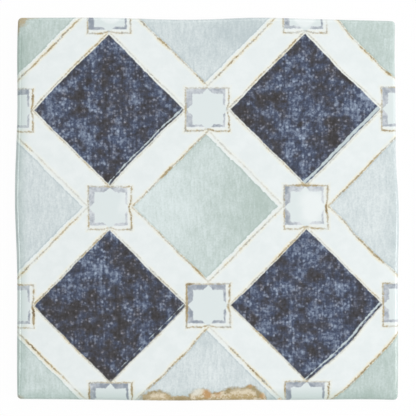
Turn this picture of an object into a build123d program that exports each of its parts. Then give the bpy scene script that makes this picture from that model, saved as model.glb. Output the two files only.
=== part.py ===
"""Square glazed wall tile, pressed and fired as one piece.

The four sides wave gently, as on a hand-made tile, the glazed face rolls over into them in
a rounded rim, and the back has the shallow square pockets that key into the adhesive.
Millimetres. The back lies on Z = 0, the glazed face looks up +Z, and the origin is the
middle of the nominal square on the back.
"""

import os

from build123d import *

# The pressed body
TILE_SIDE = 200.0  # nominal length and width, before the sides wave
TILE_THICKNESS = 9.0  # from the back to the glazed face
RIM_RADIUS = 2.0  # rounding from the glazed face into the sides
CORNER_EASE = 0.2  # how much larger than the rim the plan radius of a corner is
SIDE_DRAFT = 0.5  # how far each side draws in from the face to the back

# How far each side bows outwards (+) or inwards (-) at evenly spaced stations along it.
# With the glazed face in front, the level sides read from left to right and the upright
# sides from top to bottom, and the ends are the corners.
TOP_WAVE = (0.6, 0.7, 0.6, -0.2, -0.25, 0.65, 0.15, -0.55, -1.15)
BOTTOM_WAVE = (0.0, 0.2, 0.5, 0.85, 0.75, 0.5, 0.5, 0.2, 0.55)
LEFT_WAVE = (-1.0, -0.45, -0.55, 0.35, 0.65, -0.25, -0.55, -0.4, -0.6)
RIGHT_WAVE = (-0.6, -0.8, -0.3, -0.1, 1.35, 1.0, 0.8, 0.95, 0.65)

# The adhesive key in the back
KEY_COLUMNS = 8  # pockets along one side of the tile
KEY_BORDER = 15.0  # plain border round all the pockets
KEY_RIB = 6.0  # land between two pockets
KEY_DEPTH = 0.8  # depth of a pocket
KEY_DRAFT = 0.4  # how far each wall of a pocket draws in from its mouth to its floor


def wavy_side(wave, half, first_corner, last_corner, place):
    """A spline from corner to corner through the inner stations of a wave.

    place turns a distance along the side and a distance out from the middle into a point.
    """
    spacing = 2 * half / (len(wave) - 1)
    inner = [place(i * spacing - half, half + wave[i]) for i in range(1, len(wave) - 1)]
    return Spline(first_corner, *inner, last_corner)


def outline(half, height):
    """The wavy square with that half side, as a flat face at that height."""
    top_left = Vector(-half - LEFT_WAVE[0], half + TOP_WAVE[0], height)
    top_right = Vector(half + RIGHT_WAVE[0], half + TOP_WAVE[-1], height)
    bottom_left = Vector(-half - LEFT_WAVE[-1], -half - BOTTOM_WAVE[0], height)
    bottom_right = Vector(half + RIGHT_WAVE[-1], -half - BOTTOM_WAVE[-1], height)

    def on_top(along, out):
        return Vector(along, out, height)

    def on_bottom(along, out):
        return Vector(along, -out, height)

    def on_left(along, out):
        return Vector(-out, -along, height)

    def on_right(along, out):
        return Vector(out, -along, height)

    return make_face(
        [
            wavy_side(TOP_WAVE, half, top_left, top_right, on_top),
            wavy_side(RIGHT_WAVE, half, top_right, bottom_right, on_right),
            wavy_side(BOTTOM_WAVE, half, bottom_left, bottom_right, on_bottom),
            wavy_side(LEFT_WAVE, half, top_left, bottom_left, on_left),
        ]
    )


def pressed_body():
    """The tile with drafted wavy sides, rounded corners and a rolled rim, and a plain back."""
    half = TILE_SIDE / 2
    body = loft([outline(half - SIDE_DRAFT, 0), outline(half, TILE_THICKNESS)], ruled=True)
    between_faces = body.edges().filter_by(lambda e: e.bounding_box().size.Z > TILE_THICKNESS / 2)
    body = fillet(between_faces, RIM_RADIUS + CORNER_EASE)
    glazed_face = body.faces().sort_by(Axis.Z)[-1]
    return fillet(glazed_face.edges(), RIM_RADIUS)


def key_pockets():
    """The drafted pockets that share the back inside its border, with a rib between two."""
    pitch = (TILE_SIDE - 2 * KEY_BORDER + KEY_RIB) / KEY_COLUMNS
    mouth_side = pitch - KEY_RIB
    floor_side = mouth_side - 2 * KEY_DRAFT
    mouth = Rectangle(mouth_side, mouth_side)
    floor = Pos(0, 0, KEY_DEPTH) * Rectangle(floor_side, floor_side)
    pocket = loft([mouth, floor], ruled=True)
    return GridLocations(pitch, pitch, KEY_COLUMNS, KEY_COLUMNS) * pocket


def main():
    tile = pressed_body() - key_pockets()
    tile.label = "tile"
    os.makedirs("parts", exist_ok=True)
    export_step(tile, "parts/tile.step")


main()
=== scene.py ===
"""Moroccan wall tile with a printed lattice of navy and sage diamonds under a gloss glaze.

Laid out as an add-on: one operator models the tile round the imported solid, one sets up the
studio, and a panel in the sidebar lists them with the sizes and colours that can be changed.
"""

import math

import bmesh
import bpy
from bpy.props import FloatProperty, FloatVectorProperty, IntProperty, PointerProperty
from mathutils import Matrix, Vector, noise
from mathutils.bvhtree import BVHTree


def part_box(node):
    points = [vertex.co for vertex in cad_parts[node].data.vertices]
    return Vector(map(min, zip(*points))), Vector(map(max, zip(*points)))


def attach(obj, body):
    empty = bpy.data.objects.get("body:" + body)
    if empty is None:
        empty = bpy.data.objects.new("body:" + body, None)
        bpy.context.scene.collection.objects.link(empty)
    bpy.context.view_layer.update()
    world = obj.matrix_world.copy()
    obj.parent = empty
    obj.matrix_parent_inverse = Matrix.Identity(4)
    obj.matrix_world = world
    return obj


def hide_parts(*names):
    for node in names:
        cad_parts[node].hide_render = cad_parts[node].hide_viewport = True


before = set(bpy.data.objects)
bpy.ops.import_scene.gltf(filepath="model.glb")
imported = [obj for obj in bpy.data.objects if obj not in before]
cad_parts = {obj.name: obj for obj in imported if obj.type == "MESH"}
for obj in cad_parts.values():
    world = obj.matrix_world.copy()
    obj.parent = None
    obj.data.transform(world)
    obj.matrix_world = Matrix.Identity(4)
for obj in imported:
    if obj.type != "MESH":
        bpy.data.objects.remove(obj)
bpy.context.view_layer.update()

bl_info = {
    "name": "Moroccan Tile",
    "version": (1, 0, 0),
    "blender": (4, 5, 0),
    "location": "View3D > Sidebar > Tile",
    "description": "Models a glazed wall tile with a printed lattice, and a studio for it",
    "category": "Object",
}

MM = 0.001
LOWEST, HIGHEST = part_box("tile")
HALF_SIDE = 100.0 * MM  # half of the nominal side
# A height on the straight part of the sides, below the rim
STRAIGHT_LEVEL = LOWEST.z + 0.6 * (HIGHEST.z - LOWEST.z)
FACE_LEVEL = HIGHEST.z / MM  # height of the face in the print's millimetres
UNBOUNDED = 1000.0  # a reach far wider than the tile

# The lattice of the print, in millimetres
REPEAT = 102.5
CELL = REPEAT / math.sqrt(2)
PRINT_CENTRE = (0.8, 0.7)
SLANT = math.radians(45)
PRINT_TURN = math.radians(0.25)

# From the middle of a diamond to its upper right, lower left, upper left and lower right edge
NAVY_EDGES = (27.9, 27.8, 27.9, 28.0)
SAGE_EDGES = (26.6, 27.0, 27.8, 25.5)
# The same for the line drawn round it, and how heavy the line is there
NAVY_LINES = (28.9, 28.4, 28.8, 28.5)
NAVY_WEIGHTS = (0.6, 0.75, 0.9, 0.6)
SAGE_LINES = (28.7, 27.5, 28.3, 27.7)
SAGE_WEIGHTS = (0.55, 0.9, 0.95, 0.8)

# From the middle of a small square to its right, left, top and bottom: the lavender frame, the
# straight sides of the star in it, and the line round both
FRAME_EDGES = (9.3, 10.8, 11.0, 9.1)
STAR_EDGES = (8.2, 7.9, 8.3, 7.7)
STAR_POINTS = 10.9  # reach of the star's four slanted points
SQUARE_LINES = (11.3, 11.2, 11.3, 11.2)
SQUARE_WEIGHTS = (1.2, 1.0, 0.95, 1.05)
LINE_BOW = 0.9  # how far the right and the bottom line bend in at their middles
SLIP_INSET = 1.3  # from the edge of a dark diamond to the middle of its light strip
PRINT_FADE = (1.5, 2.6)  # how far below the face the print starts to fade, and where it is gone

# Shifts of the hand-laid print: x, y, reach, and the shift to the right and upwards
PRINT_SHIFTS = (
    (-50.4, 52.2, 46.0, -0.75, 0.35),
    (51.9, 52.2, 46.0, -0.2, 0.1),
    (-49.8, -50.3, 46.0, -0.5, -0.2),
    (51.1, -49.7, 46.0, 0.9, -0.1),
    (84.0, 82.0, 22.0, -1.0, -1.0),
    (84.0, -82.5, 26.0, 1.0, -1.0),
    (84.0, -19.0, 18.0, -0.7, -0.7),
    (-17.0, -81.0, 20.0, 0.7, -0.7),
)

# Places where the colour is washed lighter (+) or deeper (-): x, y, the two reaches, strength
WASHES = (
    # Sage diamond in the middle
    (-24.0, 0.0, 30.0, 42.0, 1.0),
    (31.0, -2.0, 33.0, 42.0, -1.0),
    # Sage corners
    (-85.0, 85.0, 34.0, 34.0, -0.45),
    (-97.0, 78.0, 12.0, 24.0, -0.7),
    (82.0, 86.0, 34.0, 30.0, -0.7),
    (88.0, -88.0, 30.0, 30.0, -0.7),
    (-88.0, -88.0, 30.0, 30.0, 0.15),
    # Pale half diamonds
    (-3.0, 86.0, 26.0, 20.0, -0.35),
    (-70.0, 22.0, 14.0, 14.0, 0.8),
    (18.0, 93.0, 20.0, 13.0, -1.2),
    (-24.0, 97.0, 14.0, 8.0, -0.4),
    (86.0, 0.0, 22.0, 34.0, 0.3),
    (98.0, -6.0, 8.0, 40.0, -0.6),
    (0.0, -86.0, 34.0, 22.0, 0.2),
    (-90.0, -5.0, 16.0, 22.0, -0.25),
    # Star squares
    (-50.4, 0.6, 22.0, 22.0, 0.4),
    (52.1, 1.0, 22.0, 22.0, 1.3),
    (1.3, -50.7, 22.0, 22.0, -1.0),
    (-50.4, 101.0, 22.0, 22.0, -0.8),
    (-50.6, 101.0, 11.0, 10.0, 2.2),
    (52.0, 101.0, 22.0, 22.0, -0.6),
    (51.8, 101.0, 11.0, 10.0, 2.2),
    (-50.4, -101.7, 22.0, 22.0, -1.2),
    (52.0, -101.7, 22.0, 22.0, -0.9),
    # Navy diamonds
    (-50.0, -50.0, 40.0, 40.0, -0.3),
    (51.0, -50.0, 40.0, 40.0, 0.35),
    (-80.0, 58.0, 14.0, 13.0, 1.0),
    (-66.0, 40.0, 12.0, 10.0, 0.7),
    (-45.0, 56.0, 14.0, 14.0, -0.5),
    (-43.0, 32.0, 10.0, 10.0, 0.9),
    (-42.0, 22.0, 7.0, 6.0, -1.2),
    (-55.0, 83.0, 9.0, 9.0, 0.6),
    (-35.0, 46.0, 10.0, 9.0, 0.6),
    (21.0, 52.0, 12.0, 14.0, -0.8),
    (49.0, 53.0, 14.0, 14.0, 0.5),
    (81.0, 55.0, 13.0, 13.0, 1.6),
    (43.0, 37.0, 10.0, 10.0, 1.0),
    (53.0, 27.0, 9.0, 9.0, 0.8),
    (48.0, 71.0, 14.0, 9.0, 0.7),
    (64.0, 60.0, 12.0, 12.0, -0.5),
    (66.0, 44.0, 8.0, 8.0, -0.7),
    (-68.0, -38.0, 16.0, 13.0, 0.8),
    (-76.0, -56.0, 14.0, 14.0, -0.7),
    (-54.0, -80.0, 14.0, 14.0, -0.4),
    (-58.0, -28.0, 11.0, 10.0, 1.3),
    (-50.0, -36.0, 10.0, 8.0, 0.9),
    (-33.0, -47.0, 9.0, 8.0, 1.0),
    (-41.0, -25.0, 10.0, 9.0, -1.2),
    (-30.0, -40.0, 7.0, 7.0, -0.8),
    (48.0, -23.0, 10.0, 10.0, 1.2),
    (67.0, -48.0, 10.0, 9.0, 0.8),
    (68.0, -68.0, 8.0, 8.0, 0.9),
    (59.0, -38.0, 11.0, 10.0, -0.6),
    (57.0, -71.0, 8.0, 8.0, -0.8),
    (45.0, -50.0, 9.0, 8.0, -0.6),
)

# Heavier (+) and fainter (-) places of the slanted lines: x, y, the reach up to the right, the
# reach up to the left, strength
SLANTED_TOUCHES = (
    (-81.7, 84.2, 25.0, 2.5, 0.35),
    (-61.3, 81.3, 15.0, 2.5, 0.25),
    (-23.2, 86.8, 2.5, 6.0, 0.5),
    (17.6, 81.3, 24.0, 2.5, 0.3),
    (42.0, 82.0, 13.0, 2.5, 0.35),
    (86.7, 78.9, 2.5, 12.0, 0.1),
    (-94.3, 32.4, 2.5, 6.0, 0.5),
    (-77.0, -12.6, 13.0, 2.5, 0.2),
    (-94.8, -32.0, 6.0, 2.5, 0.4),
    (-61.3, -23.0, 15.0, 2.5, 0.35),
    (-21.0, 19.3, 5.5, 2.0, 0.7),
    (-12.0, 28.0, 14.0, 2.5, 0.25),
    (-5.5, -30.4, 2.5, 7.0, 0.4),
    (80.8, 18.1, 25.0, 2.5, 0.25),
    (86.0, -20.8, 3.0, 15.0, 0.4),
    (42.0, -20.0, 13.0, 2.5, 0.3),
    (20.4, -19.0, 22.0, 2.5, 0.1),
    (-86.7, -46.6, 8.0, 3.0, 0.35),
    (-68.0, -73.5, 2.5, 17.0, 0.2),
    (-85.2, -79.5, 3.2, 24.0, 1.1),
    (-66.9, -96.7, 2.5, 5.0, 0.4),
    (-19.7, -41.4, 3.0, 17.0, 0.35),
    (-15.3, -79.5, 27.0, 2.5, 0.2),
    (15.0, -75.4, 2.0, 6.0, 0.8),
    (26.6, -87.0, 3.5, 15.0, 0.8),
    (30.3, -67.5, 2.5, 11.0, 0.4),
    (87.5, -44.4, 2.5, 7.0, 0.35),
    (83.8, -82.5, 25.0, 2.5, 0.3),
)
# The same for the level and upright lines: x, y, the two reaches, strength
LEVEL_TOUCHES = (
    (-51.6, 89.9, 6.0, 6.0, 0.15),
    (63.5, 96.0, 3.0, 9.0, -0.3),
    (-91.2, 57.6, 2.0, 6.0, 0.4),
    (95.0, 70.9, 2.5, 2.5, 0.5),
    (50.9, 12.5, 11.0, 2.0, 0.45),
    (63.0, 0.2, 2.0, 4.0, 0.4),
    (-90.8, -55.5, 2.0, 7.0, 0.5),
    (-61.7, -95.2, 2.0, 6.0, 0.25),
    (-38.9, -95.8, 2.0, 6.0, 0.1),
    (-9.9, -50.3, 2.0, 12.0, 0.6),
    (-9.3, -39.9, 2.5, 2.5, 0.5),
    (93.5, -49.6, 2.0, 11.0, 0.5),
    (42.0, -94.7, 2.0, 6.0, 0.3),
    (64.0, -94.7, 2.0, 6.0, 0.2),
)

# Worn places on the rim: x, y and the two reaches
WORN_PLACES = (
    (-25.8, -100.5, 8.8, 5.6),
    (-13.7, -100.8, 8.0, 3.2),
    (-2.6, -100.5, 7.4, 6.8),
    (5.6, -100.5, 6.0, 4.8),
    (15.0, -100.5, 11.0, 7.4),
    (22.6, -100.5, 7.0, 8.5),
    (28.4, -100.5, 3.4, 4.9),
    (38.5, -100.5, 1.4, 1.8),
)
WEAR_DROP = 4.0  # how far down the rim the worn places and the stains reach

# Colours inside the worn places: x, y, the two reaches, strength and the colour's name
WORN_TINTS = (
    (2.0, -100.6, 34.0, 1.6, 0.6, "olive"),
    (-13.7, -99.4, 7.0, 2.2, 0.9, "olive"),
    (-25.8, -95.8, 7.0, 1.6, 0.6, "olive"),
    (-31.2, -98.0, 3.2, 3.2, 0.7, "olive"),
    (-19.8, -98.4, 3.2, 2.8, 0.7, "sand"),
    (-25.8, -97.8, 5.2, 2.4, 0.45, "chalk"),
    (-5.4, -95.6, 4.0, 3.0, 0.5, "pooled_shade"),
    (0.6, -96.4, 3.0, 4.0, 0.9, "rust"),
    (6.1, -96.8, 2.6, 2.8, 0.5, "rust"),
    (13.4, -94.4, 5.0, 1.8, 0.9, "olive"),
    (20.2, -92.9, 5.2, 2.0, 0.9, "olive"),
    (25.4, -93.6, 3.2, 2.8, 0.9, "olive"),
    (27.4, -96.6, 2.6, 4.2, 0.9, "olive"),
    (17.6, -95.6, 8.0, 1.9, 0.5, "chalk"),
    (17.6, -98.4, 9.0, 1.8, 0.5, "sand"),
    (23.0, -92.6, 1.8, 1.4, 0.6, "rust"),
    (29.2, -98.0, 1.8, 1.8, 0.6, "rust"),
)
# Soft stains at the corners, given in the same way
STAINS = (
    (-97.6, 99.0, 5.4, 4.8, 0.75, "sand"),
    (-93.5, 100.5, 8.0, 1.6, 0.5, "sand"),
    (-98.9, 94.8, 1.7, 5.4, 0.8, "olive"),
    (-98.4, -99.4, 3.6, 2.6, 0.5, "olive"),
)

# How far in from the side each ring of the rim's mesh lies, in millimetres
RIM_INSETS = (
    7.6, 7.0, 6.3, 5.6, 5.0, 4.4, 3.9, 3.5, 3.1, 2.8, 2.6, 2.45, 2.3, 2.15, 2.0,
    1.9, 1.8, 1.7, 1.55, 1.4, 1.25, 1.0, 0.8, 0.6, 0.42, 0.26, 0.14, 0.05, 0.01,
)
# How far in from the side the bead and the groove inside it lie, and how wide each is
BEAD_INSET = 1.5 * MM
GROOVE_INSET = 2.2 * MM
BEAD_SPREAD = 0.4 * MM
# How far in from the side the painted shade of the pooled glaze starts, and over how much it deepens, in
# millimetres
RIM_SHADE_INSET = 7.0
RIM_SHADE_SPAN = 5.0
# How large the face's two ripples, the worn places' ragged edges and the grit in them are
SLOW_RIPPLE = 42 * MM
QUICK_RIPPLE = 13 * MM
WEAR_EDGE = 2.4 * MM
WEAR_GRIT = 1.7 * MM
# Heights of the sides' glazed rings above the back, in millimetres
GLAZED_LEVELS = (5.9, 5.0, 4.2)
GLAZE_LIP = 0.15 * MM  # half the height of the step where the glaze ends
GLAZE_WAVE = 0.7 * MM  # how far the end of the glaze wanders up and down
BARE_LEVEL = 1.4 * MM  # height of the bare ring between the glaze and the foot
# Heights of the foot's rings, as shares of its easing
FOOT_SHARES = (1.0, 0.6, 0.29, 0.08, 0.0)
MESH_CROWDING = 1.25  # how much closer the face's mesh is towards its sides, 1 for even

# The studio in metres: places, widths and heights of the lamps, and the floor
KEY_PLACE = (0.3, 1.7, 1.6)
KEY_SIZE = (1.7, 1.7)
EDGE_PLACE = (1.23, -0.175, 1.03)
EDGE_SIZE = (0.45, 1.5)
FLOOR_REACH = 6.0
FLOOR_GAP = 0.05 * MM
CAMERA_OVER = (0.9 * MM, 0.5 * MM)  # the place of the face right under the camera


def srgb(red, green, blue):
    """A colour given as 0 to 255 on a screen, as the linear values that materials hold."""

    def linear(level):
        share = level / 255
        return share / 12.92 if share <= 0.04045 else ((share + 0.055) / 1.055) ** 2.4

    return linear(red), linear(green), linear(blue)


def length(name, description, millimetres):
    """A length property with its default in millimetres."""
    return FloatProperty(
        name=name,
        description=description,
        default=millimetres * MM,
        min=0.0,
        unit="LENGTH",
        precision=5,
    )


def colour(name, description, red, green, blue):
    """A colour property with its default as 0 to 255 on a screen."""
    return FloatVectorProperty(
        name=name,
        description=description,
        default=srgb(red, green, blue),
        min=0.0,
        max=1.0,
        size=3,
        subtype="COLOR",
    )


class TileShape(bpy.types.PropertyGroup):
    """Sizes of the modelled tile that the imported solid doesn't give."""

    face_cells: IntProperty(
        name="Face cells",
        description="Cells along one side of the face's mesh, a multiple of the pockets",
        default=200,
        min=40,
        max=260,
    )
    face_margin: length("Face margin", "From the nominal side to the edge of the face's mesh", 9.4)
    rim_radius: length("Rim radius", "Rounding from the glazed face into the sides", 2.0)
    shoulder: length("Shoulder", "How far the face sinks towards the rim", 0.45)
    shoulder_reach: length("Shoulder reach", "How far from the side the face starts to sink", 8.0)
    bead: length("Bead", "Height of the glaze bead along the rim", 0.2)
    groove: length("Groove", "Depth of the shallow groove inside the bead", 0.13)
    ripple: length("Ripple", "How far the glazed face rises and falls", 0.16)
    wear_depth: length("Wear depth", "How deep the worn places on the rim are", 0.3)
    glaze_end: length("Glaze end", "Mean height above the back at which the glaze ends", 3.0)
    glaze_step: length("Glaze step", "How far the glaze stands proud of the bare side", 0.18)
    back_ease: length("Back ease", "Rounding between the sides and the back", 0.6)
    pocket: length("Pocket", "Side of a pocket of the back at its mouth", 16.0)
    rib: length("Rib", "Land between two pockets", 6.0)
    pocket_depth: length("Pocket depth", "Depth of a pocket", 0.8)
    pocket_draft: length("Pocket draft", "How far a pocket's wall draws in", 0.4)
    pocket_ease: length("Pocket ease", "Rounding of a pocket's edges", 0.25)
    pocket_count: IntProperty(
        name="Pockets", description="Pockets along one side of the back", default=8, min=1
    )


class TileColours(bpy.types.PropertyGroup):
    """Colours of the print, the glaze, the painted shade inside the rim and the bare body."""

    white: colour("White", "Bands of the lattice", 229, 236, 236)
    bright: colour("Bright white", "Lightest places of the bands", 235, 241, 241)
    sage_deep: colour("Deep sage", "Deepest sage", 174, 191, 184)
    sage_light: colour("Light sage", "Lightest sage", 223, 234, 234)
    pale_deep: colour("Deep grey", "Deepest tone of the pale diamonds", 184, 197, 200)
    pale_light: colour("Light grey", "Lightest tone of the pale diamonds", 233, 240, 240)
    soot: colour("Soot", "Depths of the brown clouds in the dark diamonds", 32, 28, 29)
    bark: colour("Bark", "Middle tone of the brown clouds", 57, 55, 59)
    ash: colour("Ash", "Palest grain of the brown clouds", 147, 142, 150)
    ink: colour("Ink", "Depths of the blue clouds in the dark diamonds", 27, 34, 50)
    navy: colour("Navy", "Middle tone of the blue clouds", 60, 73, 101)
    frost: colour("Frost", "Palest grain of the blue clouds", 155, 170, 191)
    slip: colour("Slip", "Light strip along the lower right edge of the dark diamonds", 205, 219, 222)
    star: colour("Star", "Inside of a star", 222, 231, 231)
    lavender: colour("Lavender grey", "Frame round a star", 142, 151, 163)
    mist: colour("Mist", "Faint places of the frame round a star", 214, 219, 223)
    cream: colour("Cream", "Fringes of the lines", 241, 241, 228)
    straw: colour("Straw", "Fringes of the heaviest lines", 237, 228, 198)
    taupe: colour("Taupe", "Faintest lines", 142, 139, 128)
    ochre: colour("Ochre", "Lines", 180, 163, 125)
    brown: colour("Brown", "Heaviest lines", 116, 99, 70)
    # Painted shade multiplied over the print inside the rim, standing partly for glaze lying thicker there
    pooled_shade: colour("Pooled glaze shade", "Painted shade inside the rim, partly glaze lying thicker there", 228, 235, 231)
    rust: colour("Rust", "Warm places of the worn rim", 186, 142, 88)
    olive: colour("Olive", "Dull places of the worn rim's edges", 154, 136, 94)
    sand: colour("Sand", "Deep grain inside worn places", 178, 156, 110)
    chalk: colour("Chalk", "Pale grain inside worn places", 220, 209, 184)
    plain: colour("Plain glaze", "Glaze of the sides", 214, 221, 219)
    biscuit: colour("Biscuit", "Bare fired clay of the back and the foot of the sides", 214, 190, 158)


class StudioSetup(bpy.types.PropertyGroup):
    """The camera and the lights."""

    lens: FloatProperty(
        name="Lens", description="Focal length in millimetres", default=100.0, min=20.0
    )
    view_width: length("View width", "Width of the picture at the glazed face", 217.6)
    key_power: FloatProperty(
        name="Key power", description="Power of the key lamp", default=14.5, min=0.0, unit="POWER"
    )
    edge_power: FloatProperty(
        name="Edge power", description="Power of the edge lamp", default=11.5, min=0.0, unit="POWER"
    )
    sky: FloatProperty(
        name="Sky", description="Strength of the light from all round", default=0.6, min=0.0
    )
    floor_glow: FloatProperty(
        name="Floor glow",
        description="How much of the floor's white doesn't take the shadow",
        default=0.96,
        min=0.0,
        max=1.0,
        subtype="FACTOR",
    )


def set_stops(ramp, stops):
    """Gives a colour ramp its stops, each a place from 0 to 1 and a colour."""
    ramp.elements[0].position = stops[0][0]
    ramp.elements[1].position = stops[-1][0]
    for place, _ in stops[1:-1]:
        ramp.elements.new(place)
    for element, (_, shade) in zip(ramp.elements, stops):
        element.color = (*shade, 1.0)


class Signal:
    """One output of a shader node, so that shader maths reads as Python expressions."""

    def __init__(self, tree, socket=None):
        self.tree = tree
        self.socket = socket

    def node(self, kind, settings=None, sockets=None, output=0):
        """Adds a node: its settings first, then the values or links of its sockets."""
        made = self.tree.nodes.new(kind)
        for name, value in (settings or {}).items():
            if name == "stops":
                set_stops(made.color_ramp, value)
            else:
                setattr(made, name, value)
        for key, value in (sockets or {}).items():
            socket = made.inputs[key]
            if isinstance(value, Signal):
                self.tree.links.new(value.socket, socket)
            elif socket.type == "RGBA":
                socket.default_value = (*value, 1.0)
            else:
                socket.default_value = value
        return Signal(self.tree, made.outputs[output]) if made.outputs else None

    def math(self, operation, *values):
        """A Math node on this and up to two more values."""
        return self.node("ShaderNodeMath", {"operation": operation}, dict(enumerate((self, *values))))

    def vector(self, operation, sockets, output="Vector"):
        """A Vector Math node with this as its first vector."""
        return self.node("ShaderNodeVectorMath", {"operation": operation}, {0: self, **sockets}, output)

    def __add__(self, other):
        return self.math("ADD", other)

    def __mul__(self, other):
        return self.math("MULTIPLY", other)

    def __sub__(self, other):
        return self.math("SUBTRACT", other)

    def __rsub__(self, other):
        return (self * -1.0) + other

    def __neg__(self):
        return self * -1.0

    def __abs__(self):
        return self.math("ABSOLUTE")

    def most(self, other):
        """The larger of two values."""
        return self.math("MAXIMUM", other)

    def least(self, other):
        """The smaller of two values."""
        return self.math("MINIMUM", other)

    def rise(self, low, high, top=1.0):
        """0 up to low, top from high on and smooth between; high below low falls instead."""
        return self.node(
            "ShaderNodeMapRange",
            {"interpolation_type": "SMOOTHSTEP"},
            {"Value": self, "From Min": low, "From Max": high, "To Max": top},
        )

    def mix(self, first, second, blend="MIX"):
        """The first colour where this is 0, and the second, or their blend, where it is 1."""
        settings = {"data_type": "RGBA", "blend_type": blend}
        return self.node("ShaderNodeMix", settings, {0: self, 6: first, 7: second}, 2)

    def grain(self, size, detail=2.0, roughness=0.5, stretch=(1.0, 1.0), offset=0.0, output=0):
        """Noise over this place, from 0 to 1, with features of about that size times stretch."""
        scale = (1 / size / stretch[0], 1 / size / stretch[1], 1 / size)
        placed = self.node(
            "ShaderNodeMapping",
            {"vector_type": "POINT"},
            {"Vector": self, "Location": (offset, offset * 1.7, offset * 0.6), "Scale": scale},
        )
        return placed.node(
            "ShaderNodeTexNoise",
            {},
            {"Vector": placed, "Scale": 1.0, "Detail": detail, "Roughness": roughness},
            output,
        )

    def dots(self, size):
        """Scattered round dots about that far apart, each from 0 to 1 at its middle."""
        settings = {"feature": "F1"}
        sockets = {"Vector": self, "Scale": 1 / size}
        distance = self.node("ShaderNodeTexVoronoi", settings, sockets, "Distance")
        luck = self.node("ShaderNodeTexVoronoi", settings, sockets, "Color").parts()[0]
        return distance.rise(0.6, 0.15) * luck.rise(0.1, 1.0)

    def turn(self, middle, angle):
        """This place seen from a middle, along axes turned by an angle."""
        return self.node(
            "ShaderNodeMapping",
            {"vector_type": "TEXTURE"},
            {"Vector": self, "Location": (*middle, 0.0), "Rotation": (0.0, 0.0, angle)},
        )

    def ellipse(self, middle, reach):
        """How far this place is from the middle of an ellipsoid, 1 on its surface."""
        scale = [1 / part for part in reach]
        shift = [-place / part for place, part in zip(middle, reach)]
        return self.vector("MULTIPLY_ADD", {1: scale, 2: shift}).vector("LENGTH", {}, "Value")

    def parts(self):
        """The three parts of this vector."""
        return [self.node("ShaderNodeSeparateXYZ", {}, {0: self}, part) for part in range(3)]


def on_face(here, x, y, reach_x, reach_y, reach_down=UNBOUNDED):
    """How far a place is from an ellipse's middle on the face, at any height unless a reach is given."""
    return here.ellipse((x, y, FACE_LEVEL), (reach_x, reach_y, reach_down))


def box_sides(right, up, edges):
    """How far a place lies outside each side of a box: right, left, up and down."""
    return right - edges[0], -right - edges[1], up - edges[2], -up - edges[3]


def furthest(sides):
    """How far a place lies outside a box, from its distance to each side."""
    return sides[0].most(sides[1]).most(sides[2].most(sides[3]))


def drawn_place(here):
    """The place on the print, shifted and shaken as it was drawn, and turned into the lattice."""
    moved = here
    for x, y, reach, shift_right, shift_up in PRINT_SHIFTS:
        share = on_face(here, x, y, reach, reach).rise(1.0, 0.5)
        step = share.node(
            "ShaderNodeVectorMath",
            {"operation": "SCALE"},
            {0: (-shift_right, -shift_up, 0.0), "Scale": share},
        )
        moved = moved.vector("ADD", {1: step})
    for size, reach in ((15.0, 1.2), (2.4, 0.5)):
        shake = here.grain(size, 1.0, output="Color").vector("SUBTRACT", {1: (0.5, 0.5, 0.5)})
        moved = shake.vector("MULTIPLY_ADD", {1: (reach, reach, 0.0), 2: moved})
    along, across, _ = moved.turn(PRINT_CENTRE, SLANT + PRINT_TURN).parts()
    return along, across


def colour_wash(here):
    """How much lighter or deeper than its middle tone a field is."""
    wash = here.grain(13.0, 2.0, offset=5.3) * 1.6 - 0.8
    for x, y, reach_x, reach_y, strength in WASHES:
        wash = wash + on_face(here, x, y, reach_x, reach_y).rise(1.0, 0.2, strength)
    return wash


def ink_weight(here):
    """How heavily the lines are drawn."""
    ink = here.grain(6.0, 3.0, 0.6, offset=4.0).rise(0.25, 0.75, 0.5) + 0.3
    for x, y, reach_x, reach_y, strength in LEVEL_TOUCHES:
        ink = ink + on_face(here, x, y, reach_x, reach_y).rise(1.0, 0.3, strength)
    slanted = here.turn((0.0, 0.0), SLANT)
    for x, y, reach_right, reach_left, strength in SLANTED_TOUCHES:
        along = (x + y) * math.sqrt(0.5)
        across = (y - x) * math.sqrt(0.5)
        ink = ink + on_face(slanted, along, across, reach_right, reach_left).rise(1.0, 0.3, strength)
    return ink * here.grain(1.3, 2.0, offset=12.0).rise(0.2, 0.6, 0.6) + ink * 0.4


def navy_cloth(here, wash, colours):
    """The dark diamonds: pale dots, grain and threads over blue and brown clouds."""
    speck = here.grain(1.8, 3.0, 0.65, offset=7.7)
    dots = here.dots(1.7)
    warp = here.grain(1.2, 1.0, stretch=(1.0, 6.0), offset=1.4)
    weft = here.grain(1.4, 1.0, stretch=(5.0, 1.0), offset=8.2)
    cloud = here.grain(7.0, 3.0, 0.6, offset=3.1)
    tone = (speck - 0.5) * 1.0 + (warp - 0.5) * 0.4 + (weft - 0.5) * 0.2 + (cloud - 0.5) * 0.7
    tone = tone + dots * 0.31 + wash * 0.1 + 0.45

    def cloth(depth, middle, speckle):
        stops = ((0.2, depth), (0.5, middle), (0.95, speckle))
        return tone.node("ShaderNodeValToRGB", {"stops": stops}, {"Fac": tone})

    brown = cloth(colours.soot, colours.bark, colours.ash)
    blue = cloth(colours.ink, colours.navy, colours.frost)
    return (cloud + wash * 0.15).rise(0.28, 0.68).mix(brown, blue)


def soft_cloth(here, wash, is_pale, edge, colours):
    """The sage and the pale diamonds: upright linen streaks and flecks in a wash, deeper at the edge."""
    streak = here.grain(1.5, 3.0, 0.65, stretch=(1.0, 4.0), offset=2.0)
    fleck = here.grain(0.9, 1.0, offset=2.9)
    level = wash + (streak - 0.5) * 3.2 + (fleck - 0.5) * 2.0
    level = (level - edge * fleck * 2.4).rise(-2.4, 2.4)
    sage = level.mix(colours.sage_deep, colours.sage_light)
    pale = level.mix(colours.pale_deep, colours.pale_light)
    return is_pale.mix(sage, pale)


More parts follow.
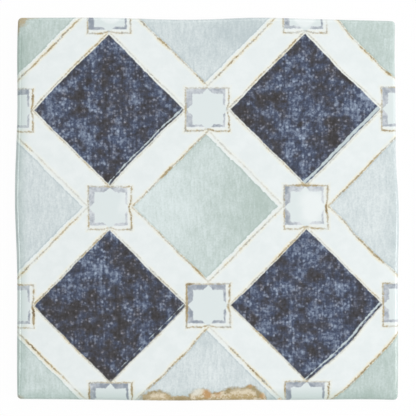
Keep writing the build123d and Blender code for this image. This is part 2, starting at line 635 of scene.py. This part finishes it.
def lay_fringe(painted, distance, ink, strength, colours):
    """The cream fringe along both sides of a line."""
    fringe = distance.rise(2.2, 0.6) * (ink.rise(0.1, 0.7, 0.55) + 0.25) * strength
    shade = ink.rise(0.3, 0.85).mix(colours.cream, colours.straw)
    return fringe.mix(painted, shade)


def draw_line(painted, here, distance, ink, colours):
    """Draws a ragged line: grey brown where it is faint, ochre and then brown where it is heavier."""
    scatter = here.grain(0.9, 2.0, 0.6, offset=14.0)
    warm = here.grain(9.0, 2.0, offset=18.0)
    tone = ink * 0.5 + (warm - 0.5) * 1.2 + (scatter - 0.5) * 0.4 + 0.08
    stops = ((0.15, colours.taupe), (0.45, colours.ochre), (0.8, colours.brown))
    shade = tone.node("ShaderNodeValToRGB", {"stops": stops}, {"Fac": tone})
    spread = ink.rise(0.5, 1.3, 0.35)
    stroke = (distance - spread + scatter * 1.3 - 0.65).rise(0.75, 0.05) * ink.rise(0.0, 0.8)
    return stroke.mix(painted, shade)


def line_round(sides, weights):
    """Distance from a drawn box, and how heavy its nearest side is."""
    outside = furthest(sides)
    weight = 0.0
    for side, heaviness in zip(sides, weights):
        weight = side.math("COMPARE", outside, 0.001) * heaviness + weight
    return abs(outside), weight


def lattice_diamonds(painted, here, along, across, ink, wash, colours):
    """The navy, sage and pale diamonds with their outlines."""
    half = CELL / 2
    right = along.math("WRAP", half, -half)
    up = across.math("WRAP", half, -half)
    odd_column = (along * (0.5 / CELL) + 0.25).math("FRACT").math("GREATER_THAN", 0.5)
    odd_row = (across * (0.5 / CELL) + 0.25).math("FRACT").math("GREATER_THAN", 0.5)
    is_navy = abs(odd_column - odd_row)
    is_pale = odd_column * odd_row

    def by_kind(sage, navy):
        return [is_navy * (second - first) + first for first, second in zip(sage, navy)]

    sides = box_sides(right, up, by_kind(SAGE_LINES, NAVY_LINES))
    distance, weight = line_round(sides, by_kind(SAGE_WEIGHTS, NAVY_WEIGHTS))
    weight = ink * weight
    painted = lay_fringe(painted, distance, weight, 1.0, colours)

    # The dark diamonds of the lower half are printed a little larger
    x, y, _ = here.parts()
    growth = (y.rise(15.0, -15.0, 0.36) - 0.1) * is_navy
    outside = furthest(box_sides(right, up, by_kind(SAGE_EDGES, NAVY_EDGES))) - growth
    ragged = (here.grain(1.7, 2.0, 0.6, offset=3.7) - 0.5) * (1.6 - is_navy)
    inside = (outside + ragged).rise(0.3, -0.3)
    soft = soft_cloth(here, wash, is_pale, outside.rise(-1.0, -0.2), colours)
    painted = inside.mix(painted, is_navy.mix(soft, navy_cloth(here, wash, colours)))

    # The print slipped: a light strip inside the lower right edge of the dark diamonds, wider
    # towards the upper right of the tile
    width = x * 0.0037 + y * 0.0026 + here.grain(3.0, 3.0, 0.6, offset=9.0).rise(0.3, 0.7, 0.5) + 0.05
    slip = (abs(up + NAVY_EDGES[3] - SLIP_INSET) - width).rise(0.25, -0.25) * is_navy * inside
    painted = (slip * 0.85).mix(painted, colours.slip)

    return draw_line(painted, here, distance, weight, colours)


def star_squares(painted, here, along, across, ink, wash, colours):
    """The eight-point star in its square at each crossing of the bands."""
    half = CELL / 2
    first = along.math("WRAP", CELL, 0.0) - half
    second = across.math("WRAP", CELL, 0.0) - half
    right = (first - second) * math.sqrt(0.5)
    up = (first + second) * math.sqrt(0.5)

    lines = list(SQUARE_LINES)
    lines[0] = lines[0] - abs(up).rise(4.5, 0.0, LINE_BOW)
    lines[3] = lines[3] - abs(right).rise(4.5, 0.0, LINE_BOW)
    sides = box_sides(right, up, lines)
    distance, weight = line_round(sides, SQUARE_WEIGHTS)
    weight = ink * weight
    painted = lay_fringe(painted, distance, weight, 0.45, colours)

    frame_distance = furthest(box_sides(right, up, FRAME_EDGES))
    points = (abs(right) + abs(up) - STAR_POINTS) * math.sqrt(0.5)
    star = furthest(box_sides(right, up, STAR_EDGES)).least(points)
    middle = wash.rise(0.5, 1.2).mix(colours.star, colours.bright)
    painted = star.rise(0.3, -0.3).mix(painted, middle)
    ragged = (here.grain(1.4, 2.0, 0.6, offset=1.1) - 0.5) * 1.2
    corner = (frame_distance + ragged).rise(0.3, -0.3) * (star + ragged).rise(-0.3, 0.3)
    wet = here.grain(3.2, 3.0, 0.65, offset=6.0) + wash * 0.22
    tint = wet.rise(0.2, 0.8).mix(colours.lavender, colours.mist)
    painted = corner.mix(painted, tint)
    return draw_line(painted, here, distance, weight, colours)


def printed_colour(here, colours):
    """The whole print: bands, diamonds, lines and star squares, a painted shade inside the rim, plain
    glaze on the sides.
    """
    along, across = drawn_place(here)
    mottle = here.grain(6.0, 3.0, 0.6, offset=5.0).rise(0.3, 0.75)
    painted = mottle.mix(colours.white, colours.bright)
    ink = ink_weight(here)
    wash = colour_wash(here)
    painted = lattice_diamonds(painted, here, along, across, ink, wash, colours)
    painted = star_squares(painted, here, along, across, ink, wash, colours)
    # Painted shade inside the rim, deeper to the lower left, partly for glaze lying thicker there
    pool = here.node("ShaderNodeAttribute", {"attribute_name": "pool"}, output="Fac")
    painted = pool.mix(painted, colours.pooled_shade, "MULTIPLY")
    _, _, height = here.parts()
    fade_start, fade_end = PRINT_FADE
    return height.rise(FACE_LEVEL - fade_start, FACE_LEVEL - fade_end).mix(painted, colours.plain)


def lay_tints(painted, here, grit, tints, colours):
    """Soft touches of colour with ragged edges."""
    for x, y, reach_x, reach_y, strength, shade in tints:
        ragged = on_face(here, x, y, reach_x, reach_y, WEAR_DROP) + (grit - 0.5) * 0.9
        painted = ragged.rise(1.05, 0.35, strength).mix(painted, getattr(colours, shade))
    return painted


def worn_places(here, painted, colours):
    """Stained corners and worn rim. Returns the colour and how worn it is."""
    nearest = None
    for x, y, reach_x, reach_y in WORN_PLACES:
        distance = on_face(here, x, y, reach_x, reach_y, WEAR_DROP)
        nearest = distance if nearest is None else nearest.least(distance)
    ragged = nearest + (here.grain(2.2, 3.0, 0.6, offset=8.0) - 0.5) * 0.5
    worn = ragged.rise(1.1, 0.85)
    grit = here.grain(1.1, 2.0, 0.6, offset=11.0)
    blotch = here.grain(5.0, 2.0, offset=16.0)
    inside = (ragged + (grit - 0.5) * 1.8).rise(0.2, 0.75)
    inside = inside.mix(colours.sand, colours.chalk)
    edge = (ragged + (grit - 0.5) * 0.6 + (blotch - 0.5) * 1.2).rise(0.75, 1.0)
    patch = edge.mix(inside, colours.olive)
    patch = lay_tints(patch, here, grit, WORN_TINTS, colours)
    painted = lay_tints(painted, here, grit, STAINS, colours)
    return worn.mix(painted, patch), worn


def glaze_material(colours):
    """The printed glaze, and the bare biscuit where the glaze ends."""
    material = bpy.data.materials.new("printed_glaze")
    material.use_nodes = True
    tree = material.node_tree
    tree.nodes.clear()
    start = Signal(tree)
    metres = start.node("ShaderNodeTexCoord", output="Object")
    here = metres.vector("SCALE", {"Scale": 1 / MM})
    painted, worn = worn_places(here, printed_colour(here, colours), colours)

    bare = start.node("ShaderNodeAttribute", {"attribute_name": "bare"}, output="Fac").rise(0.35, 0.65)
    grit = here.grain(1.6, 4.0, 0.7, offset=13.0)
    kiln = here.grain(26.0, 3.0, 0.6, offset=21.0)
    clay = (grit * 0.6 + kiln * 0.6).rise(0.35, 0.85).mix(colours.biscuit, colours.chalk)
    painted = bare.mix(painted, clay)

    dull = bare.most(worn * 0.6)
    gloss = here.grain(9.0, 2.0, offset=15.0) * 0.08 + 0.1
    orange_peel = here.grain(3.0, 2.0, offset=17.0) * 0.25 * (1 - dull) + grit * dull
    bump = start.node(
        "ShaderNodeBump", {}, {"Strength": 0.35, "Distance": 0.1 * MM, "Height": orange_peel}
    )
    shader = start.node(
        "ShaderNodeBsdfPrincipled",
        {},
        {
            "Base Color": painted,
            "Roughness": dull * 0.6 + gloss,
            "IOR": 1.5,
            "Normal": bump,
        },
    )
    start.node("ShaderNodeOutputMaterial", {}, {"Surface": shader})
    return material


def side_finder():
    """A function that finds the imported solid's side from a place inside it and a way out."""
    solid = BVHTree.FromObject(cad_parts["tile"], bpy.context.evaluated_depsgraph_get())

    def find(inside, way, height):
        far = Vector((inside.x, inside.y, height)) + way * 0.05
        hit = solid.ray_cast(far, -way)[0]
        if hit is None:
            raise RuntimeError(f"the tile's side isn't found from {tuple(inside)}")
        return hit

    return find


def wear_at(x, y):
    """How worn the rim is at a place in metres, from 0 to 1."""
    nearest = UNBOUNDED
    for middle_x, middle_y, reach_x, reach_y in WORN_PLACES:
        nearest = min(nearest, math.hypot((x / MM - middle_x) / reach_x, (y / MM - middle_y) / reach_y))
    ragged = nearest + 0.25 * noise.noise(Vector((x, y, 0.3)) / WEAR_EDGE)
    return min(1.0, max(0.0, (1.05 - ragged) / 0.25))


def face_height(x, y, shape):
    """Height of the glazed face: a slow ripple, and the worn places sunk into it."""
    slow = noise.noise(Vector((x, y, 0.11)) / SLOW_RIPPLE)
    quick = noise.noise(Vector((x, y, 0.07)) / QUICK_RIPPLE)
    ripple = shape.ripple * (0.36 * slow + 0.12 * quick - 0.5)
    grit = 0.3 * noise.noise(Vector((x, y, 0.19)) / WEAR_GRIT)
    return HIGHEST.z + ripple - shape.wear_depth * wear_at(x, y) * (0.8 + grit)


def glazed_face(bm, shape):
    """The face's grid, closer meshed towards its sides. Returns its border, with ways out."""
    half = HALF_SIDE - shape.face_margin
    verts = bmesh.ops.create_grid(
        bm, x_segments=shape.face_cells, y_segments=shape.face_cells, size=half
    )["verts"]

    def crowd(value):
        share = min(1.0, abs(value) / half)
        return math.copysign(half * (1 - (1 - share) ** MESH_CROWDING), value)

    for vert in verts:
        vert.co.x = crowd(vert.co.x)
        vert.co.y = crowd(vert.co.y)
        vert.co.z = face_height(vert.co.x, vert.co.y, shape)
    return {vert: way_out(vert.co, half) for vert in verts if vert.is_boundary}


def way_out(place, half):
    """The level direction from a place on the face's border to the side, turning at a corner."""
    turn_zone = 8.0 * MM
    gap_x = half - abs(place.x)
    gap_y = half - abs(place.y)
    turn = math.radians(45) * max(0.0, 1 - max(gap_x, gap_y) / turn_zone)
    lean = turn if gap_x < gap_y else math.radians(90) - turn
    return Vector((math.copysign(math.cos(lean), place.x), math.copysign(math.sin(lean), place.y), 0.0))


def open_edges(bm):
    """The edges with a face on one side only."""
    return [edge for edge in bm.edges if edge.is_boundary]


def next_ring(bm, ring, place):
    """Extrudes a ring of vertices once, and puts each new one where place says."""
    border = [edge for edge in open_edges(bm) if edge.verts[0] in ring]
    made = bmesh.ops.extrude_edge_only(bm, edges=border)["geom"]
    new_ring = {}
    for vert in made:
        if isinstance(vert, bmesh.types.BMVert):
            source = next(e.other_vert(vert) for e in vert.link_edges if e.other_vert(vert) in ring)
            new_ring[vert] = ring[source]
    for vert, root in new_ring.items():
        vert.co = place(root)
    return new_ring


def roll_rim(bm, border, shape, pool, find):
    """Rings from the face's border over the bead and down the rolled rim, with a painted shade for the
    pooled glaze.
    """
    ring = {vert: (find(vert.co, way, STRAIGHT_LEVEL), way) for vert, way in border.items()}

    def rim_place(inset):
        def place(root):
            outer, way = root
            spot = outer - way * inset
            share = max(0.0, 1 - inset / shape.rim_radius)
            drop = shape.rim_radius * (1 - math.sqrt(max(0.0, 1 - share * share)))
            drop += shape.shoulder * max(0.0, 1 - inset / shape.shoulder_reach) ** 3
            # The bead is full on the left and low on the other sides
            fullness = 0.1 + 0.9 * max(0.0, -way.x)
            drop -= fullness * shape.bead * math.exp(-(((inset - BEAD_INSET) / BEAD_SPREAD) ** 2))
            drop += fullness * shape.groove * math.exp(-(((inset - GROOVE_INSET) / BEAD_SPREAD) ** 2))
            spot.z = face_height(spot.x, spot.y, shape) - drop
            return spot

        return place

    for inset in RIM_INSETS:
        ring = next_ring(bm, ring, rim_place(inset * MM))
        depth = min(1.0, max(0.0, (RIM_SHADE_INSET - inset) / RIM_SHADE_SPAN))
        for vert, (_, way) in ring.items():
            # Painted shade, deeper towards the lower left where the light falls away, partly glaze that
            # ran thicker there
            vert[pool] = depth * (0.5 - 0.35 * (way.x + way.y))
    return ring


def drop_sides(bm, ring, shape, bareness, find):
    """Rings down the drafted sides to the back, bare of glaze from the glaze's end on."""
    foot = LOWEST.z + 0.1 * MM

    def side_place(height, inset, wave):
        def place(root):
            outer, way = root
            low = find(outer - way * 3 * MM, way, foot)
            share = (height - foot) / (STRAIGHT_LEVEL - foot)
            spot = low.lerp(outer, min(1.0, max(0.0, share))) - way * inset
            drift = noise.noise(Vector((spot.x, spot.y, 0.5)) / (9 * MM))
            drift += 0.4 * noise.noise(Vector((spot.x, spot.y, 0.9)) / (2.5 * MM))
            spot.z = height + drift * wave
            return spot

        return place

    for height in GLAZED_LEVELS:
        ring = next_ring(bm, ring, side_place(height * MM, 0.0, 0.0))
    end = shape.glaze_end
    ring = next_ring(bm, ring, side_place(end + GLAZE_LIP, 0.0, GLAZE_WAVE))
    ring = next_ring(bm, ring, side_place(end, 0.6 * shape.glaze_step, GLAZE_WAVE))
    ring = next_ring(bm, ring, side_place(end - GLAZE_LIP, shape.glaze_step, GLAZE_WAVE))
    for vert in ring:
        vert[bareness] = 1.0
    ring = next_ring(bm, ring, side_place(BARE_LEVEL, shape.glaze_step, 0.0))
    for share in FOOT_SHARES:
        inset = shape.back_ease * (1 - math.sqrt(max(0.0, 1 - (1 - share) ** 2)))
        ring = next_ring(bm, ring, side_place(shape.back_ease * share, shape.glaze_step + inset, 0.0))


def keyed_back(bm, shape, bareness):
    """The back's pockets, in a bare plate with as many edges as the face has cells round it."""
    half = shape.pocket_count * (shape.pocket + shape.rib) / 2
    plate = bmesh.ops.create_grid(
        bm, x_segments=shape.pocket_count, y_segments=shape.pocket_count, size=half
    )["verts"]
    pockets = list({face for vert in plate for face in vert.link_faces})
    bmesh.ops.reverse_faces(bm, faces=pockets)
    bmesh.ops.inset_individual(bm, faces=pockets, thickness=shape.rib / 2)
    mouths = [edge for face in pockets for edge in face.edges]
    bmesh.ops.inset_individual(
        bm, faces=pockets, thickness=shape.pocket_draft, depth=-shape.pocket_depth
    )
    floors = [edge for face in pockets for edge in face.edges]
    bmesh.ops.bevel(
        bm,
        geom=mouths + floors,
        offset=shape.pocket_ease,
        segments=2,
        profile=0.5,
        affect="EDGES",
        material=-1,
    )
    cuts = shape.face_cells // shape.pocket_count - 1
    bmesh.ops.subdivide_edges(bm, edges=open_edges(bm), cuts=cuts)
    for vert in bm.verts:
        vert[bareness] = 1.0


def bake_map(bm, layer):
    """Unwraps the tile: the face large, the back small beside it, and a strip for each side."""
    whole = 2.1 * HALF_SIDE
    steep = 0.35
    face_share = 0.82
    back_share = 0.16
    strip_pitch = 0.04
    strip_margin = 0.1
    strip_fill = 0.8
    for face in bm.faces:
        normal = face.normal
        facing_x = abs(normal.x) > abs(normal.y)
        strip = (0 if facing_x else 2) + (0 if normal.x + normal.y > 0 else 1)
        for loop in face.loops:
            x, y, z = loop.vert.co
            if normal.z > steep:
                spot = (face_share * (x / whole + 0.5), face_share * (y / whole + 0.5))
            elif normal.z < -steep:
                spot = (1 - back_share * (x / whole + 0.5), back_share * (y / whole + 0.5))
            else:
                along = (y if facing_x else x) / whole + 0.5
                rise = strip_fill * (z - LOWEST.z) / (HIGHEST.z - LOWEST.z)
                spot = (face_share * along, face_share + strip_pitch * (strip + strip_margin + rise))
            loop[layer].uv = spot


class GlazedTileOperator(bpy.types.Operator):
    """Model the tile: the rippled face, the rolled rim, the sides and the keyed back"""

    bl_idname = "tile.glazed_tile"
    bl_label = "Glazed tile"

    def execute(self, context):
        shape = context.scene.tile_shape
        bm = bmesh.new()
        bareness = bm.verts.layers.float.new("bare")
        pool = bm.verts.layers.float.new("pool")
        places = bm.loops.layers.uv.new("OFBake")
        keyed_back(bm, shape, bareness)
        border = glazed_face(bm, shape)
        find = side_finder()
        ring = roll_rim(bm, border, shape, pool, find)
        drop_sides(bm, ring, shape, bareness, find)
        bmesh.ops.bridge_loops(bm, edges=open_edges(bm))
        bmesh.ops.recalc_face_normals(bm, faces=bm.faces)
        bake_map(bm, places)
        mesh = bpy.data.meshes.new("glazed_tile")
        bm.to_mesh(mesh)
        bm.free()
        mesh.shade_smooth()
        mesh.set_sharp_from_angle(angle=math.radians(50))
        tile = bpy.data.objects.new("glazed_tile", mesh)
        context.scene.collection.objects.link(tile)
        mesh.materials.append(glaze_material(context.scene.tile_colours))
        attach(tile, "root")
        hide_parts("tile")
        return {"FINISHED"}


def seen_directly(start):
    """1 for rays that show the background as it is, 0 for rays that light the scene."""
    camera = start.node("ShaderNodeLightPath", output="Is Camera Ray")
    glossy = start.node("ShaderNodeLightPath", output="Is Glossy Ray")
    clear = start.node("ShaderNodeLightPath", output="Is Transmission Ray")
    return camera.most(glossy).most(clear)


def lay_floor(context, setup):
    """A wide white floor that keeps a soft shadow, just below the tile's back."""
    bm = bmesh.new()
    bmesh.ops.create_grid(bm, x_segments=1, y_segments=1, size=FLOOR_REACH)
    bmesh.ops.translate(bm, verts=bm.verts, vec=(0.0, 0.0, LOWEST.z - FLOOR_GAP))
    mesh = bpy.data.meshes.new("floor")
    bm.to_mesh(mesh)
    bm.free()
    floor = bpy.data.objects.new("floor", mesh)
    context.scene.collection.objects.link(floor)
    material = bpy.data.materials.new("white_floor")
    material.use_nodes = True
    material.node_tree.nodes.clear()
    start = Signal(material.node_tree)
    matt = start.node("ShaderNodeBsdfDiffuse", {}, {"Color": (0.92, 0.92, 0.92)})
    glow = start.node("ShaderNodeEmission", {}, {"Color": (1.0, 1.0, 1.0), "Strength": 1.0})
    share = seen_directly(start) * setup.floor_glow
    both = start.node("ShaderNodeMixShader", {}, {0: share, 1: matt, 2: glow})
    start.node("ShaderNodeOutputMaterial", {}, {"Surface": both})
    mesh.materials.append(material)


def hang_lamp(context, name, place, power, width, height):
    """A soft lamp of that size, aimed at the tile."""
    lamp = bpy.data.lights.new(name, "AREA")
    lamp.shape = "RECTANGLE"
    lamp.size = width
    lamp.size_y = height
    lamp.energy = power
    holder = bpy.data.objects.new(name, lamp)
    holder.location = place
    holder.rotation_euler = (-holder.location).to_track_quat("-Z", "Y").to_euler()
    context.scene.collection.objects.link(holder)


def light_scene(context, setup):
    """A broad key lamp above the top, a tall one to the right, and a dim sky that looks white."""
    hang_lamp(context, "key", KEY_PLACE, setup.key_power, *KEY_SIZE)
    hang_lamp(context, "edge", EDGE_PLACE, setup.edge_power, *EDGE_SIZE)
    world = bpy.data.worlds.new("studio")
    context.scene.world = world
    world.use_nodes = True
    world.node_tree.nodes.clear()
    start = Signal(world.node_tree)
    strength = seen_directly(start) * (1.0 - setup.sky) + setup.sky
    sky = start.node("ShaderNodeBackground", {}, {"Color": (1.0, 1.0, 1.0), "Strength": strength})
    start.node("ShaderNodeOutputWorld", {}, {"Surface": sky})


def place_camera(context, setup):
    """The camera, looking straight down at the face."""
    data = bpy.data.cameras.new("camera")
    data.lens = setup.lens
    camera = bpy.data.objects.new("camera", data)
    height = setup.view_width * setup.lens / data.sensor_width
    camera.location = (*CAMERA_OVER, HIGHEST.z + height)
    context.scene.collection.objects.link(camera)
    context.scene.camera = camera


class StudioOperator(bpy.types.Operator):
    """Set up the pale floor, the soft lights and the camera over the tile"""

    bl_idname = "tile.studio"
    bl_label = "Studio"

    def execute(self, context):
        setup = context.scene.tile_studio
        lay_floor(context, setup)
        light_scene(context, setup)
        place_camera(context, setup)
        context.scene.view_settings.view_transform = "Standard"
        return {"FINISHED"}


class TilePanel(bpy.types.Panel):
    """Lists the operators with their settings"""

    bl_idname = "TILE_PT_panel"
    bl_label = "Moroccan tile"
    bl_space_type = "VIEW_3D"
    bl_region_type = "UI"
    bl_category = "Tile"

    def draw(self, context):
        for operator, settings in (
            (GlazedTileOperator, (context.scene.tile_shape, context.scene.tile_colours)),
            (StudioOperator, (context.scene.tile_studio,)),
        ):
            self.layout.operator(operator.bl_idname)
            for group in settings:
                for name in group.__annotations__:
                    self.layout.prop(group, name)


CLASSES = (TileShape, TileColours, StudioSetup, GlazedTileOperator, StudioOperator, TilePanel)


def register():
    """Registers the classes and hangs the settings on the scene."""
    for item in CLASSES:
        bpy.utils.register_class(item)
    bpy.types.Scene.tile_shape = PointerProperty(type=TileShape)
    bpy.types.Scene.tile_colours = PointerProperty(type=TileColours)
    bpy.types.Scene.tile_studio = PointerProperty(type=StudioSetup)


def unregister():
    """Takes away what register added."""
    del bpy.types.Scene.tile_studio
    del bpy.types.Scene.tile_colours
    del bpy.types.Scene.tile_shape
    for item in reversed(CLASSES):
        bpy.utils.unregister_class(item)


def main():
    """Builds the tile and its studio."""
    register()
    bpy.ops.tile.glazed_tile()
    bpy.ops.tile.studio()


if __name__ == "__main__":
    main()
